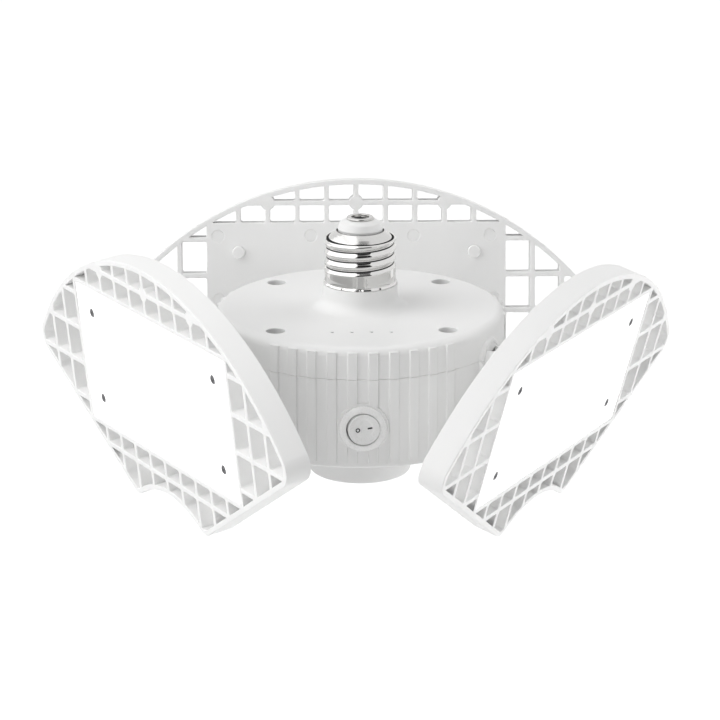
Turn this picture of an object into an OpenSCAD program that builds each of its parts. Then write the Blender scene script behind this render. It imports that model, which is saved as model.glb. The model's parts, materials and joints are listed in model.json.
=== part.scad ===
// Ceiling light with a screw base, a round drum and three fan-shaped folding light panels.
// Millimetres, +Z up. The origin is on the axis of the screw base, at the foot of its metal skirt.

/* [Screw base] */
// Diameter of the screw thread over its crests
thread_d = 26.4; // [25:0.1:28]
// Pitch of the rolled thread
thread_pitch = 3.63; // [3:0.01:4]
// Depth of the rolled thread
thread_depth = 0.75; // [0.4:0.05:1]
// Number of thread turns
thread_turns = 3.3; // [2.5:0.1:3.6]
// Height of the plain skirt under the thread
skirt_h = 4.5; // [3:0.1:6]
// Diameter of the plain skirt
skirt_d = 26.8; // [26.4:0.1:28]
// Height of the domed metal shoulder over the thread
shoulder_h = 3.6; // [2.5:0.1:5]
// Thickness of the metal shell under a thread root
shell_t = 0.45; // [0.3:0.05:0.8]
// Diameter of the opening in the metal shoulder
shoulder_hole_d = 17.2; // [15:0.1:19]
// Height of the insulator cone over the metal shoulder
insulator_h = 4; // [3:0.1:5]
// Diameter of the centre contact
contact_d = 10; // [7:0.1:11]
// Thickness of the centre contact
contact_t = 0.7; // [0.4:0.1:1.2]

/* [Drum] */
// Outer diameter of the drum
drum_d = 106.4; // [104:0.1:116]
// Height of the drum
drum_h = 45; // [43:0.5:60]
// Depth of the seam between the two shells below the top
seam_depth = 11.6; // [11.4:0.1:13]
// Wall thickness of the two shells
wall = 2; // [1.6:0.1:2.6]
// Thickness of the top and the floor
plate_t = 2.2; // [1.6:0.1:2.4]
// Radius of the rounded top edge
edge_r = 3.4; // [2.4:0.1:4]
// Radius of the rounded bottom edge
bottom_edge_r = 1.4; // [0.8:0.1:1.8]
// Height of the neck between the drum and the screw base
neck_h = 9; // [7:0.5:12]
// Diameter of the foot of the neck
neck_foot_d = 37; // [32:0.5:40]

/* [Ribs on the drum] */
// Number of raised strips in each of the three groups
strip_count = 10; // [6:1:10]
// Angle between neighbouring strips in degrees
strip_step = 8; // [7:0.1:8.2]
// Width of a strip
strip_w = 3.5; // [2:0.1:4.5]
// How far a strip stands out
strip_proud = 0.6; // [0.4:0.1:1]
// Depth of the shallow pockets in the lower shell round the hinges
pocket_depth = 0.3; // [0.1:0.1:0.6]
// Gap from the top of the drum to the strips
strip_top_gap = 1.7; // [1.5:0.1:5]
// Gap from the bottom of the drum to the strips
strip_bottom_gap = 2.4; // [2:0.1:5]

/* [Case screws] */
// Side of the square on which the four case screws stand
screw_square = 62; // [58:0.5:62.5]
// Diameter of the recess over each case screw
recess_d = 6.8; // [6.4:0.1:7.4]
// Depth of the recess over each case screw
recess_depth = 7.5; // [5:0.5:8.5]
// Diameter of a case screw's shank
case_shank_d = 2.6; // [2:0.1:3]
// Diameter of a case screw's head
case_head_d = 5.4; // [4.6:0.1:6]
// Length of a case screw's shank
case_shank_l = 14; // [8:0.5:18]

/* [Charge lights] */
// Number of charge lights on the top
light_count = 4; // [2:1:4]
// Distance between neighbouring charge lights
light_step = 7.1; // [5:0.1:8]
// Distance from the drum's axis to the row of charge lights
light_row = 33; // [30:0.5:36]
// Diameter of a charge light
light_d = 1.2; // [1:0.1:2.5]

/* [Switch] */
// Depth of the switch's centre below the top of the drum
switch_depth = 29.4; // [26:0.1:31]
// Diameter of the switch's bezel
bezel_d = 16.8; // [16.8:0.1:19]
// Thickness of the switch's bezel
bezel_t = 2; // [1.4:0.1:2.4]
// Diameter of the switch's barrel in the wall
barrel_d = 15.6; // [15.4:0.1:16]
// Diameter of the opening in the bezel
bezel_hole_d = 12.6; // [12.5:0.1:13.4]
// Diameter of the rocker
rocker_d = 11.6; // [10.6:0.1:11.7]
// Angle from the rocker's middle to each end of its travel in degrees
rocker_half_travel = 7; // [4:0.5:8]
// Diameter of the rocker's two trunnions
trunnion_d = 1.6; // [1:0.1:2]

/* [Round boss under the drum] */
// Diameter of the boss under the drum
boss_d = 37.8; // [30:0.2:40]
// Height of the boss under the drum
boss_h = 18.3; // [10:0.1:24]
// Wall of the boss
boss_wall = 1.8; // [1.2:0.1:2.4]

/* [Hinges] */
// Distance from the drum's wall to the tilt pivots
pivot_out = 4.9; // [4.9:0.1:7]
// Outer diameter of the hinge ring on the drum
ring_d = 14; // [13.4:0.1:15]
// How far the hinge ring stands out from the drum
ring_proud = 1.2; // [0.8:0.1:1.2]
// Diameter of the swivel collar's neck
collar_d = 10.7; // [10.4:0.1:11]
// Diameter of the swivel collar's flange
flange_d = 12.8; // [12.4:0.1:13.4]
// Thickness of the swivel collar's flange
flange_t = 2.2; // [1.6:0.1:2.6]
// Radius of the arm's knuckle
knuckle_r = 3.4; // [3:0.1:3.4]
// Width of the arm's knuckle
knuckle_w = 5.6; // [5:0.1:6.2]
// Diameter of the hinge pin
pin_d = 2.4; // [1.8:0.1:2.6]
// Diameter of the channel for the panel's lead
lead_d = 2.4; // [1.6:0.1:2.6]

/* [Panels] */
// Distance from a tilt pivot to the front face of its panel
panel_reach = 28.1; // [26:0.1:34]
// Height of a tilt pivot over the centre of its panel
panel_drop = 3.3; // [0:0.1:6]
// Depth of a panel from front to back
panel_depth = 9.7; // [9.2:0.1:12]
// Distance between neighbouring upright ribs
column = 11.55; // [11:0.05:11.8]
// Distance between neighbouring level ribs
row = 14.2; // [14:0.05:14.4]
// Height of the box that holds the lamp board, between the middles of its walls
box_h = 55.2; // [54:0.1:56]
// Thickness of a rib
rib_t = 1.9; // [1.4:0.1:2.4]
// Thickness of the rim
rim_t = 2.1; // [1.6:0.1:2.6]
// Radius of the long curved edge
arc_r = 117; // [112:0.5:130]
// Height of the curved edge over the panel's centre
arc_top = 45.5; // [43:0.1:48]
// Angle of the slanted sides in degrees
side_angle = 32; // [30:0.5:34]
// Distance from the panel's centre to each slanted side
side_reach = 55.8; // [55:0.1:58]
// Radius of the wide corners
corner_r = 7; // [6:0.1:9]
// Radius of the two lobes
lobe_r = 5.6; // [3:0.1:6.5]
// Radius of the notch between the lobes
notch_r = 43; // [40:0.5:46]
// Height of the top of the notch below the panel's centre
notch_top = 41.3; // [41:0.1:42.5]
// Radius of the inner corners of the cells
cell_r = 0.7; // [0.5:0.1:2]
// Tilt of the left panel in degrees, leaning outwards
left_tilt = 6.6; // [0:0.1:20]
// Tilt of the right panel in degrees, leaning outwards
right_tilt = 15.4; // [0:0.1:20]
// Tilt of the back panel in degrees, leaning outwards
back_tilt = 10.8; // [0:0.1:20]

/* [Lamp in each panel] */
// Thickness of the lens
lens_t = 2; // [1.4:0.1:2.4]
// Gap around the lens
lens_gap = 0.25; // [0.1:0.05:0.4]
// Thickness of the panel's back plate
back_t = 2; // [1.6:0.1:2.4]
// Thickness of the lamp board
board_t = 1.5; // [1:0.1:1.6]
// Diameter of the posts for the lens screws
post_d = 6.2; // [5.4:0.1:7]
// Diameter of a lens screw's shank
lens_shank_d = 2; // [1.6:0.1:2.6]
// Diameter of a lens screw's head
lens_head_d = 4; // [3.4:0.1:4.4]
// Distance between the two screws of the arm's foot
foot_screw_gap = 17; // [16:0.5:20]
// Thickness of the arm's foot
foot_t = 2.5; // [2:0.1:3.5]

/* [Inside the drum] */
// Diameter of the driver board
driver_d = 76; // [70:0.5:77]
// Height of the driver board over the floor
driver_lift = 22.8; // [21.5:0.1:24]
// Diameter of a battery cell
cell_d = 18.2; // [14:0.1:18.6]
// Length of a battery cell
cell_l = 65; // [50:0.5:66]

/* [Hidden] */

$fn = 64;

// Directions in which the panels stand, as angles round the drum
left_az = 210;
right_az = 330;
back_az = 90;
panel_azs = [left_az, right_az, back_az];

// Clearances
fit = 0.1;          // between fixed pieces
shaft_fit = 0.06;   // round a turning neck, pin or trunnion
bite = 0.04;        // round a screw in its pilot hole
run = 0.3;          // round a flange that turns

// Heights of the drum
drum_r = drum_d / 2;
top_z = -neck_h;
seam_z = top_z - seam_depth;
bottom_z = top_z - drum_h;
floor_z = bottom_z + plate_t;
ceiling_z = top_z - plate_t;

// Screw base
thread_r = thread_d / 2;
root_r = thread_r - thread_depth;
shell_in_r = root_r - shell_t;
thread_h = thread_turns * thread_pitch;
thread_top = skirt_h + thread_h;
shoulder_top = thread_top + shoulder_h;
contact_top = shoulder_top + insulator_h + contact_t;
spigot_r = shell_in_r - fit;
spigot_wall = 1.8;
spigot_top = thread_top - 2;
contact_stem_r = 1.6;
stem_z = thread_top - 2;

// Case screws
screw_at = screw_square / 2;
recess_z = top_z - recess_depth;
tube_wall = 1.2;
tube_r = recess_d / 2 + tube_wall;
case_post_r = 3.8;
case_head_t = 2;

// Charge lights
light_pad_d = 3;
light_pad_h = 1.2;
light_board_t = 1.2;
light_board_w = 7;
light_board_z = ceiling_z - light_pad_h;
light_sink = 0.3;

// Switch, on an axis that points to the front
switch_z = top_z - switch_depth;
pad_y = -(drum_r + strip_proud);
pad_margin = 0.8;
pad_r = bezel_d / 2 + pad_margin;
bezel_y = pad_y - bezel_t;
rocker_sink = 2.4;
rocker_axis_y = bezel_y + rocker_sink;
barrel_r = barrel_d / 2;
barrel_l = 15;
rocker_r = rocker_d / 2;
rocker_back = 3.4;
rocker_face = 2.4;
heel_slope = 12;
trunnion_l = 0.7;
blade_x = 3;
blade_t = 0.8;
blade_w = 4.8;
blade_l = 6;

// Hinges, in a frame whose origin is the tilt pivot and whose +Y points to the drum's axis
pivot_r = drum_r + pivot_out;
ring_y = pivot_r - drum_r - ring_proud;
fork_gap = 0.4;
fork_y = knuckle_r + fork_gap;
collar_r = collar_d / 2;
bore_r = collar_r + shaft_fit;
flange_r = flange_d / 2;
flange_y = pivot_r - drum_r + wall + 1;
block_r = seam_depth - plate_t + 0.7;
block_y = pivot_r - drum_r + 1.2;
block_lip = 2;
block_end_y = flange_y + flange_t + block_lip;
cheek_gap = knuckle_w + run;
cheek_end_r = 3.4;
pin_r = pin_d / 2;
pin_l = collar_d - 0.5;
arm_neck_r = 4.2;
arm_root_r = 5.4;
arm_neck_at = cheek_end_r + 0.5;
foot_end_r = 4.6;
foot_boss_r = 3.1;
foot_boss_h = 5;
foot_shank_r = 1.2;
foot_head_r = 2.2;
foot_head_t = 1.3;

// Panels, in a frame with u to the right, v up, and y from the front face to the back
box_cols = 5;
box_w = 2 * box_cols * column;
box_in_w = box_w - rib_t;
box_in_h = box_h - rib_t;
top_rail_gap = 8.6;
top_rail = box_h / 2 + top_rail_gap;
rails = [for (k = [0 : 5]) top_rail - k * row];
post_u = 4 * column;
post_v = 16.9;
posts = [for (i = [-1, 1], j = [-1, 1]) [i * post_u, j * post_v]];
back_y = panel_depth - back_t;
board_y = back_y - board_t;
lens_y = 0.3;
post_y = lens_y + lens_t;
ledge_w = 1.2;
lens_w = box_in_w - 2 * lens_gap;
lens_h = box_in_h - 2 * lens_gap;
lens_head_t = 0.9;
lens_sink = 1.1;
pad_cols = [-3, 0, 3];
rail_pad_r = 2.8;
stud_r = 2.5;
stud_h = 1.4;
mark_r = 2.4;
mark_deep = 0.25;
marks = [[-5 * column + 5.3, box_h / 2 - 4.3], [-2 * column + 0.6, box_h / 2 - 4.3],
         [2 * column - 5.2, box_h / 2 - 4.3], [5 * column - 3.6, box_h / 2 - 4.3],
         [-5 * column + 3.8, -1.6], [5 * column - 3.8, -1.6]];

// Inside the drum
driver_z = floor_z + driver_lift;
driver_t = 1.6;
standoff_x = 20;
standoff_y = 26;
standoffs = [for (i = [-1, 1], j = [-1, 1]) [i * standoff_x, j * standoff_y]];
standoff_r = 2.8;
standoff_pilot = 12;
core_w = 12;
core_l = 20;
core_h = 11;
core_t = 2;
core_x = -24;
capacitor_x = 18;
capacitor_y = 8;
large_capacitor_d = 10;
large_capacitor_h = 12;
small_capacitor_d = 8;
small_capacitor_h = 11;
board_screw_l = 8;
tray_t = 1.2;
tray_wall = 1.6;
cell_gap = 0.4;
cell_z = floor_z + tray_t + fit + cell_d / 2;
cell_y = (cell_d + cell_gap) / 2;
lead_r = 0.8;
shell_lead_x = spigot_r - spigot_wall - lead_r - 0.2;
shell_lead_z = spigot_top + lead_r + fit;

// Places children in the frame of the hinge at one direction, level and facing outwards
module at_hinge(az) {
  rotate([0, 0, az + 90]) translate([0, -pivot_r, seam_z]) children();
}

// Places children in the frame of a panel, with its front face at y = 0
module at_panel(az, tilt) {
  at_hinge(az) rotate([tilt, 0, 0]) translate([0, -panel_reach, -panel_drop]) children();
}

// Turns a cylinder or a revolved form so that its axis runs along +Y, and its start line lies
// clear of the level plane in which the two shells part
module along_y() {
  rotate([-90, 0, 0]) rotate([0, 0, 50]) children();
}

// A slab of a flat outline in u and v, from depth y to depth y + t
module slab(y, t) {
  rotate([90, 0, 0]) translate([0, 0, -y - t]) linear_extrude(t) children();
}

// Points of an arc from angle a to angle b
function arc(c, r, a, b, n) = [for (i = [0 : n]) let (t = a + (b - a) * i / n)
                               [c[0] + r * cos(t), c[1] + r * sin(t)]];

// Angle of a direction
function heading(v) = atan2(v[1], v[0]);

// Far crossing of the line p + s * d with a circle of radius r round c
function line_circle(p, d, c, r) = let (q = p - c, b = q * d, k = q * q - r * r)
                                   p + (-b + sqrt(b * b - k)) * d;

// Fan outline of a panel, drawn in by a given amount
side_dir = [cos(side_angle), sin(side_angle)];
side_in = [-sin(side_angle), cos(side_angle)];
arc_c = [0, arc_top - arc_r];
notch_c = [0, -notch_top - notch_r];
corner_c = line_circle((corner_r - side_reach) * side_in, side_dir, arc_c, arc_r - corner_r);
lobe_c = line_circle((lobe_r - side_reach) * side_in, side_dir, notch_c, notch_r + lobe_r);

function half_fan(inset) =
  concat(arc(arc_c, arc_r - inset, 90, heading(corner_c - arc_c), 20),
         arc(corner_c, corner_r - inset, heading(corner_c - arc_c), side_angle - 90, 8),
         arc(lobe_c, lobe_r - inset, side_angle - 90, heading(notch_c - lobe_c), 6),
         arc(notch_c, notch_r + inset, heading(lobe_c - notch_c), 90, 8));

module fan(inset) {
  half = half_fan(inset);
  last = len(half) - 1;
  polygon(concat(half, [for (i = [last - 1 : -1 : 1]) [-half[i][0], half[i][1]]]));
}

// A rectangle with round corners, centred
module round_rect(w, h, r) {
  square([w - 2 * r, h], center = true);
  square([w, h - 2 * r], center = true);
  for (i = [-1, 1], j = [-1, 1]) translate([i * (w / 2 - r), j * (h / 2 - r)]) circle(r, $fn = 20);
}

// A slot with round ends
module stadium(l, r) {
  square([l, 2 * r], center = true);
  for (i = [-1, 1]) translate([i * l / 2, 0]) circle(r);
}

// The open cells of a panel's lattice
module cells() {
  intersection() {
    fan(rim_t);
    union() {
      for (c = [-8 : 7]) {
        for (k = [0 : 6]) {
          top = k == 0 ? rails[0] + row : rails[k - 1];
          low = k == 6 ? rails[5] - row : rails[k];
          inside = c >= -box_cols && c < box_cols;
          t = inside && k == 5 ? -box_h / 2 : top;
          b = inside && k == 1 ? box_h / 2 : low;
          if (!inside || k < 2 || k > 4)
            translate([(c + 0.5) * column, (t + b) / 2])
              round_rect(column - rib_t, t - b - rib_t, cell_r);
        }
      }
    }
  }
}

// Wall that stands all round the box of a panel, drawn in by a given amount
module box_outline(inset) {
  square([box_in_w - 2 * inset, box_in_h - 2 * inset], center = true);
}

// Half of the drum's outline, from the axis to the wall, between two heights
module drum_profile(inset) {
  r = drum_r - inset;
  hull_top = top_z - (inset > 0 ? plate_t : 0);
  hull_low = bottom_z + (inset > 0 ? plate_t : 0);
  er = max(edge_r - inset, 0.6);
  br = max(bottom_edge_r - inset, 0.4);
  polygon(concat([[0, hull_low]],
                 arc([r - br, hull_low + br], br, -90, 0, 6),
                 arc([r - er, hull_top - er], er, 0, 90, 10),
                 [[0, hull_top]]));
}

// Half the angle of the pocket round a hinge, which ends a little before the nearest strip
pocket_margin = 1.1;
pocket_half = 60 - (strip_count - 1) / 2 * strip_step - asin((strip_w / 2 + pocket_margin) / drum_r);

// Shallow pockets in the wall of the lower shell, one round each hinge
module pockets() {
  low = bottom_z + strip_bottom_gap;
  for (az = panel_azs) rotate([0, 0, az - pocket_half]) translate([0, 0, low])
    rotate_extrude(angle = 2 * pocket_half, $fn = 128)
      translate([drum_r - pocket_depth, 0]) square([pocket_depth + 1, seam_z - low + 1]);
}

// Raised strips on the wall, in three groups between the hinges
module strips() {
  low = bottom_z + strip_bottom_gap;
  high = top_z - strip_top_gap;
  for (g = [0 : 2], i = [0 : strip_count - 1])
    rotate([0, 0, left_az + 60 + 120 * g + (i - (strip_count - 1) / 2) * strip_step])
      translate([drum_r - wall / 2, -strip_w / 2, low])
        cube([wall / 2 + strip_proud, strip_w, high - low]);
}

// Solid part of a hinge boss: the ring outside the wall and the block inside it
module hinge_boss_solid(az) {
  at_hinge(az) along_y() {
    rotate_extrude() polygon([[0, ring_y], [ring_d / 2 - 0.8, ring_y], [ring_d / 2 - 0.25, ring_y + 0.25],
                              [ring_d / 2, ring_y + 0.8], [ring_d / 2, block_y + 1], [0, block_y + 1]]);
    translate([0, 0, block_y]) cylinder(r = block_r, h = block_end_y - block_y);
  }
}

// Bore and groove in which a swivel collar turns
module hinge_boss_bore(az) {
  at_hinge(az) along_y() {
    translate([0, 0, ring_y - 1]) cylinder(r = bore_r, h = block_end_y - ring_y + 2);
    translate([0, 0, flange_y - run]) cylinder(r = flange_r + run, h = flange_t + 2 * run);
  }
}

// Everything that the two shells share, before the seam divides it
module shell_body(with_pockets) {
  difference() {
    union() {
      difference() {
        rotate_extrude($fn = 128) drum_profile(0);
        rotate_extrude($fn = 128) drum_profile(wall);
        if (with_pockets) pockets();
      }
      strips();
      intersection() {
        for (az = panel_azs) hinge_boss_solid(az);
        translate([0, 0, bottom_z + 1]) cylinder(r = pivot_r, h = drum_h - 1.6);
      }
    }
    for (az = panel_azs) hinge_boss_bore(az);
  }
}

// Neck between the drum and the screw base, flared at its foot
module neck() {
  foot_r = neck_foot_d / 2;
  head_r = skirt_d / 2 + 0.4;
  flare = foot_r - head_r;
  polygon(concat([[0, top_z - 0.5], [foot_r, top_z - 0.5]],
                 [for (a = [0 : 15 : 90]) [foot_r - flare * sin(a), top_z + flare * (1 - cos(a))]],
                 [[head_r, 0], [spigot_r, 0], [spigot_r, spigot_top], [0, spigot_top]]));
}

// Upper shell: drum top, neck and the upper half of the three hinge bosses
module top_cap() {
  color("white") difference() {
    union() {
      intersection() {
        shell_body(false);
        translate([0, 0, seam_z]) cylinder(r = pivot_r, h = seam_depth);
      }
      rotate_extrude() neck();
      for (p = case_screw_places()) translate([p[0], p[1], seam_z])
        cylinder(r = tube_r, h = ceiling_z - seam_z + 0.5);
      for (i = [-1, 1]) translate([i * light_board_half(), -light_row, light_board_z])
        cylinder(d = light_pad_d, h = ceiling_z - light_board_z + 0.5);
    }
    translate([0, 0, top_z - plate_t - 1])
      cylinder(r = spigot_r - spigot_wall, h = spigot_top - top_z + plate_t + 2);
    for (p = case_screw_places()) translate([p[0], p[1], 0]) {
      translate([0, 0, recess_z]) cylinder(d = recess_d, h = recess_depth + 1);
      translate([0, 0, seam_z - 1]) cylinder(d = case_shank_d + 0.6, h = seam_depth);
    }
    for (x = light_places()) translate([x, -light_row, top_z - plate_t - 1])
      cylinder(d = light_d + fit, h = plate_t + 2);
  }
}

// Places of the four case screws
function case_screw_places() = [for (i = [-1, 1], j = [-1, 1]) [i * screw_at, j * screw_at]];

// Places of the charge lights along their row
function light_places() = [for (i = [0 : light_count - 1]) (i - (light_count - 1) / 2) * light_step];

// Half the distance between the two pads that hold the charge light board
function light_board_half() = light_count * light_step / 2;

// Lower shell: the drum's wall and floor, posts, switch seat and lower halves of the hinge bosses
module lower_housing() {
  color("white") difference() {
    union() {
      intersection() {
        shell_body(true);
        translate([0, 0, bottom_z - 1]) cylinder(r = pivot_r, h = drum_h - seam_depth + 1);
      }
      translate([0, 0, floor_z - 0.5]) {
        for (p = case_screw_places()) translate([p[0], p[1], 0])
          cylinder(r = case_post_r, h = seam_z - floor_z + 0.5);
        for (p = standoffs) translate([p[0], p[1], 0]) cylinder(r = standoff_r, h = driver_lift + 0.5);
      }
      intersection() {
        translate([0, pad_y, switch_z]) along_y() cylinder(r = pad_r, h = drum_r);
        translate([0, 0, bottom_z]) difference() {
          cylinder(r = drum_r + strip_proud + 1, h = drum_h);
          translate([0, 0, -1]) cylinder(r = drum_r - wall, h = drum_h + 2);
        }
      }
    }
    translate([0, pad_y - 1, switch_z]) along_y() cylinder(r = barrel_r + fit, h = drum_r / 2);
    for (p = case_screw_places()) translate([p[0], p[1], floor_z + 3])
      cylinder(d = case_shank_d + 2 * bite, h = drum_h);
    for (p = standoffs) translate([p[0], p[1], driver_z - standoff_pilot])
      cylinder(r = foot_shank_r + bite, h = standoff_pilot + 1);
    translate([0, 0, bottom_z - 1]) cylinder(r = cover_neck_r() + fit, h = plate_t + 2);
  }
}

// Outer radius of the neck by which the round boss snaps into the floor
function cover_neck_r() = boss_d / 2 - boss_wall - 1.2;

// Round boss under the drum, a hollow cover that snaps into the floor
module bottom_cover() {
  r = boss_d / 2;
  neck_r = cover_neck_r();
  inner_r = neck_r - boss_wall;
  low = bottom_z - boss_h;
  round_r = 1.2;
  snap = 0.5;
  snap_z = floor_z + 0.1;
  color("white") rotate_extrude($fn = 96)
    polygon(concat([[0, low]],
                   arc([r - round_r, low + round_r], round_r, -90, 0, 6),
                   [[r, bottom_z], [neck_r, bottom_z], [neck_r, snap_z], [neck_r + snap, snap_z],
                    [neck_r, snap_z + 2 * snap], [inner_r, snap_z + 2 * snap],
                    [inner_r, low + boss_wall], [0, low + boss_wall]]));
}

// Radius of the rolled thread at a height above its first root
function thread_at(h) = root_r + thread_depth * (0.5 - 0.5 * cos(360 * h / thread_pitch));

// Metal shell of the screw base, with a plain skirt, the rolled thread and a domed shoulder
module screw_shell() {
  steps = round(thread_turns * 10);
  hole_r = shoulder_hole_d / 2;
  span = root_r - hole_r;
  color("silver") rotate_extrude($fn = 96)
    polygon(concat([[shell_in_r, 0], [skirt_d / 2, 0], [skirt_d / 2, skirt_h - 0.6], [root_r, skirt_h]],
                   [for (i = [1 : steps]) [thread_at(thread_h * i / steps), skirt_h + thread_h * i / steps]],
                   [for (a = [10 : 10 : 90]) [hole_r + span * cos(a), thread_top + shoulder_h * sin(a)]],
                   [[hole_r, shoulder_top - shell_t]],
                   [for (a = [80 : -10 : 10]) [hole_r + (span - shell_t) * cos(a),
                                               thread_top + (shoulder_h - shell_t) * sin(a)]],
                   [[shell_in_r, thread_top]]));
}

// Insulator between the metal shell and the centre contact
module base_insulator() {
  hole_r = shoulder_hole_d / 2;
  top = shoulder_top + insulator_h;
  color("white") rotate_extrude($fn = 96) difference() {
    polygon([[0, thread_top], [hole_r + 1.4, thread_top], [hole_r + 1.4, thread_top + shoulder_h / 2],
             [hole_r - fit, shoulder_top - shell_t - fit], [hole_r - fit, shoulder_top + 0.2],
             [contact_d / 2 + 0.4, top], [0, top]]);
    square([contact_stem_r + fit, 2 * top]);
  }
}

// Centre contact: a shallow domed cap with a stem that the lead is soldered to
module centre_contact() {
  r = contact_d / 2;
  z = shoulder_top + insulator_h;
  color("silver") difference() {
    rotate_extrude() polygon([[0, stem_z], [contact_stem_r, stem_z],
                              [contact_stem_r, z], [r, z], [r - 0.3, z + contact_t * 0.6],
                              [r * 0.7, contact_top], [0, contact_top]]);
    translate([0, 0, contact_top - 0.3]) cylinder(r1 = 0.4, r2 = 1.2, h = 0.4);
  }
}

// A pan head screw that points down, with its head on z = 0
module screw(shank, l, head, head_t) {
  translate([0, 0, -l]) cylinder(d = shank, h = l);
  cylinder(d = head, h = head_t);
}

// Four screws that hold the two shells together
module case_screws() {
  color("dimgray") for (p = case_screw_places()) translate([p[0], p[1], recess_z])
    screw(case_shank_d, case_shank_l, case_head_d, case_head_t);
}

// Light pipes of the charge gauge
module charge_lights() {
  color("gainsboro") for (x = light_places()) translate([x, -light_row, light_board_z])
    cylinder(d = light_d, h = top_z - light_sink - light_board_z);
}

// Small board under the charge lights
module charge_light_board() {
  l = 2 * light_board_half() + light_pad_d + 1;
  color("seagreen") translate([-l / 2, -light_row - light_board_w / 2, light_board_z - light_board_t])
    cube([l, light_board_w, light_board_t]);
}

// Bezel and barrel of the rocker switch
module switch_body() {
  hole_r = bezel_hole_d / 2;
  color("white") translate([0, 0, switch_z]) difference() {
    union() {
      translate([0, bezel_y, 0]) along_y() rotate_extrude()
        polygon([[0, 0.6], [bezel_d / 2 - 1.3, 0], [bezel_d / 2 - 0.5, 0.2], [bezel_d / 2 - 0.1, 0.7],
                 [bezel_d / 2, bezel_t], [0, bezel_t]]);
      translate([0, pad_y - 0.2, 0]) along_y() cylinder(r = barrel_r, h = barrel_l);
    }
    translate([0, bezel_y - 1, 0]) along_y() cylinder(r = hole_r, h = barrel_l - 2);
    translate([0, rocker_axis_y, 0])
      cylinder(d = trunnion_d + 2 * shaft_fit, h = 2 * (hole_r + trunnion_l + 0.2), center = true);
  }
}

// Two contact blades at the back of the switch
module switch_terminals() {
  color("silver") for (i = [-1, 1])
    translate([i * blade_x - blade_t / 2, pad_y - 0.2 + barrel_l, switch_z - blade_w / 2])
      cube([blade_t, blade_l, blade_w]);
}

// Rocker with two faces that meet in a shallow valley, turned to its on side
module switch_rocker() {
  wide = rocker_r + 1;
  front = -rocker_face - wide * tan(rocker_half_travel);
  heel = rocker_back - wide * tan(heel_slope);
  color("white") translate([0, rocker_axis_y, switch_z]) rotate([0, 0, rocker_half_travel]) {
    intersection() {
      translate([0, -rocker_face - 2, 0]) along_y() cylinder(r = rocker_r, h = rocker_face + rocker_back + 4);
      linear_extrude(2 * wide, center = true)
        polygon([[-wide, front], [0, -rocker_face], [wide, front],
                 [wide, heel], [0, rocker_back], [-wide, heel]]);
    }
    cylinder(d = trunnion_d, h = 2 * (bezel_hole_d / 2 + trunnion_l), center = true);
  }
}

// Round driver board on its four standoffs
module driver_board() {
  color("seagreen") translate([0, 0, driver_z]) difference() {
    cylinder(d = driver_d, h = driver_t);
    for (p = standoffs) translate([p[0], p[1], -1]) cylinder(r = foot_shank_r + 0.2, h = driver_t + 2);
  }
}

// Transformer of the driver
module transformer() {
  flange = core_w + 2 * core_t;
  color("gold") translate([core_x, 0, driver_z + driver_t]) {
    translate([0, -core_l / 2, 0]) cube([flange, core_l, core_t]);
    translate([core_t, core_t - core_l / 2, 0]) cube([core_w, core_l - 2 * core_t, core_h]);
    translate([0, -core_l / 2, core_h - core_t]) cube([flange, core_l, core_t]);
  }
}

// Two smoothing capacitors of the driver
module capacitors() {
  color("navy") {
    translate([capacitor_x, capacitor_y, driver_z + driver_t])
      cylinder(d = large_capacitor_d, h = large_capacitor_h);
    translate([capacitor_x, -capacitor_y, driver_z + driver_t])
      cylinder(d = small_capacitor_d, h = small_capacitor_h);
  }
}

// Four screws that hold the driver board
module board_screws() {
  color("dimgray") for (p = standoffs) translate([p[0], p[1], driver_z + driver_t])
    screw(2 * foot_shank_r, board_screw_l, 2 * foot_head_r, foot_head_t);
}

// Tray for the two cells of the backup battery
module battery_tray() {
  l = cell_l + 2 * (tray_wall + cell_gap);
  w = 2 * cell_d + cell_gap + 0.6;
  color("black") translate([0, 0, floor_z]) difference() {
    union() {
      translate([-l / 2, -w / 2, 0]) cube([l, w, tray_t]);
      for (i = [-1, 1]) translate([i * (l - tray_wall) / 2 - tray_wall / 2, -w / 2, 0])
        cube([tray_wall, w, cell_d * 0.7]);
    }
    translate([0, 0, -1]) cylinder(r = cover_neck_r() + 1, h = tray_t + 2);
  }
}

// Two cells of the backup battery
module battery_cells() {
  color("steelblue") for (j = [-1, 1]) translate([-cell_l / 2, j * cell_y, cell_z])
    rotate([0, 90, 0]) {
      cylinder(d = cell_d, h = cell_l);
      translate([0, 0, cell_l]) cylinder(d = 5, h = cell_gap - fit);
    }
}

// Leads from the screw base to the driver board
module base_leads() {
  foot = driver_z + driver_t;
  color("black") {
    translate([0, 0, foot]) cylinder(r = lead_r, h = stem_z - foot);
    translate([shell_lead_x, 0, foot]) cylinder(r = lead_r, h = shell_lead_z - foot);
    translate([shell_lead_x, 0, shell_lead_z]) {
      sphere(lead_r);
      rotate([0, 90, 0]) cylinder(r = lead_r, h = shell_in_r - fit / 2 - shell_lead_x);
    }
  }
}

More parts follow.
